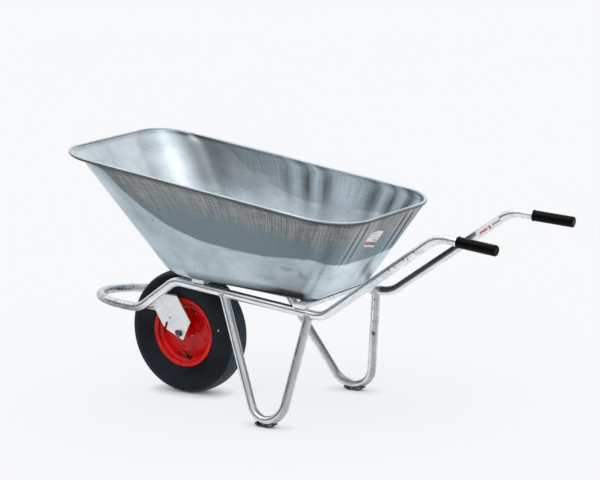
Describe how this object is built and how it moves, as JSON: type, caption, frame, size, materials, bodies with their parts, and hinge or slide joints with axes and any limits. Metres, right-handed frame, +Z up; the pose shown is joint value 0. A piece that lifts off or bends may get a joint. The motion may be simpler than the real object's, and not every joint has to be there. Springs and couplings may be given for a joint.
{
  "type": "wheelbarrow",
  "caption": "Builder's wheelbarrow with a deep pressed tub on a bent-tube frame with a front hoop, splayed U-shaped legs, black grips and a pneumatic wheel on a red rim.",
  "frame": {"origin": "on the ground below the middle of the barrow's length and width", "axes": "+X from the front hoop towards the handles, +Y towards the pusher's right, +Z up"},
  "size_m": [1.5952, 0.5882, 0.8037],
  "materials": {
    "galvanised_tube": "hot-dip galvanised, bright with speckles",
    "galvanised_plate": "hot-dip galvanised, pale",
    "tub_sheet": "drawn galvanised sheet, dark streaked upper zone",
    "red_paint": "gloss red",
    "tyre_rubber": "matt near-black",
    "butyl_rubber": "matt black",
    "grip_plastic": "gloss black",
    "zinc_bolt": "zinc plated",
    "dark_steel": "dark plated",
    "bush_plastic": "moulded black"
  },
  "bodies": {
    "barrow": {"frame_tube": "galvanised_tube", "grip_left": "grip_plastic", "grip_right": "grip_plastic", "leg_left": "galvanised_tube", "leg_right": "galvanised_tube", "foot_plate_left": "galvanised_plate", "foot_plate_right": "galvanised_plate", "axle_bracket_left": "galvanised_plate", "axle_bracket_right": "galvanised_plate", "tub": "tub_sheet", "front_crossmember": "galvanised_plate", "rear_crossmember": "galvanised_plate", "tub_bolt_1": "zinc_bolt", "tub_washer_1": "zinc_bolt", "tub_nut_1": "zinc_bolt", "tub_bolt_2": "zinc_bolt", "tub_washer_2": "zinc_bolt", "tub_nut_2": "zinc_bolt", "tub_bolt_3": "zinc_bolt", "tub_washer_3": "zinc_bolt", "tub_nut_3": "zinc_bolt", "tub_bolt_4": "zinc_bolt", "tub_washer_4": "zinc_bolt", "tub_nut_4": "zinc_bolt", "axle": "dark_steel", "axle_spacer_left": "zinc_bolt", "axle_spacer_right": "zinc_bolt", "axle_nut_left": "dark_steel", "axle_nut_right": "dark_steel"},
    "wheel": {"tyre": "tyre_rubber", "inner_tube": "butyl_rubber", "rim_left": "red_paint", "rim_right": "red_paint", "hub_tube": "red_paint", "bearing_left": "bush_plastic", "bearing_right": "bush_plastic", "valve_stem": "butyl_rubber", "valve_cap": "dark_steel", "rim_rivet_1": "zinc_bolt", "rim_rivet_2": "zinc_bolt", "rim_rivet_3": "zinc_bolt", "rim_rivet_4": "zinc_bolt"}
  },
  "joints": [
    {"name": "wheel_spin", "type": "hinge", "parent": "barrow", "child": "wheel", "pos_m": [-0.45384, 0, 0.2], "axis": [0, 1, 0], "continuous": true}
  ]
}
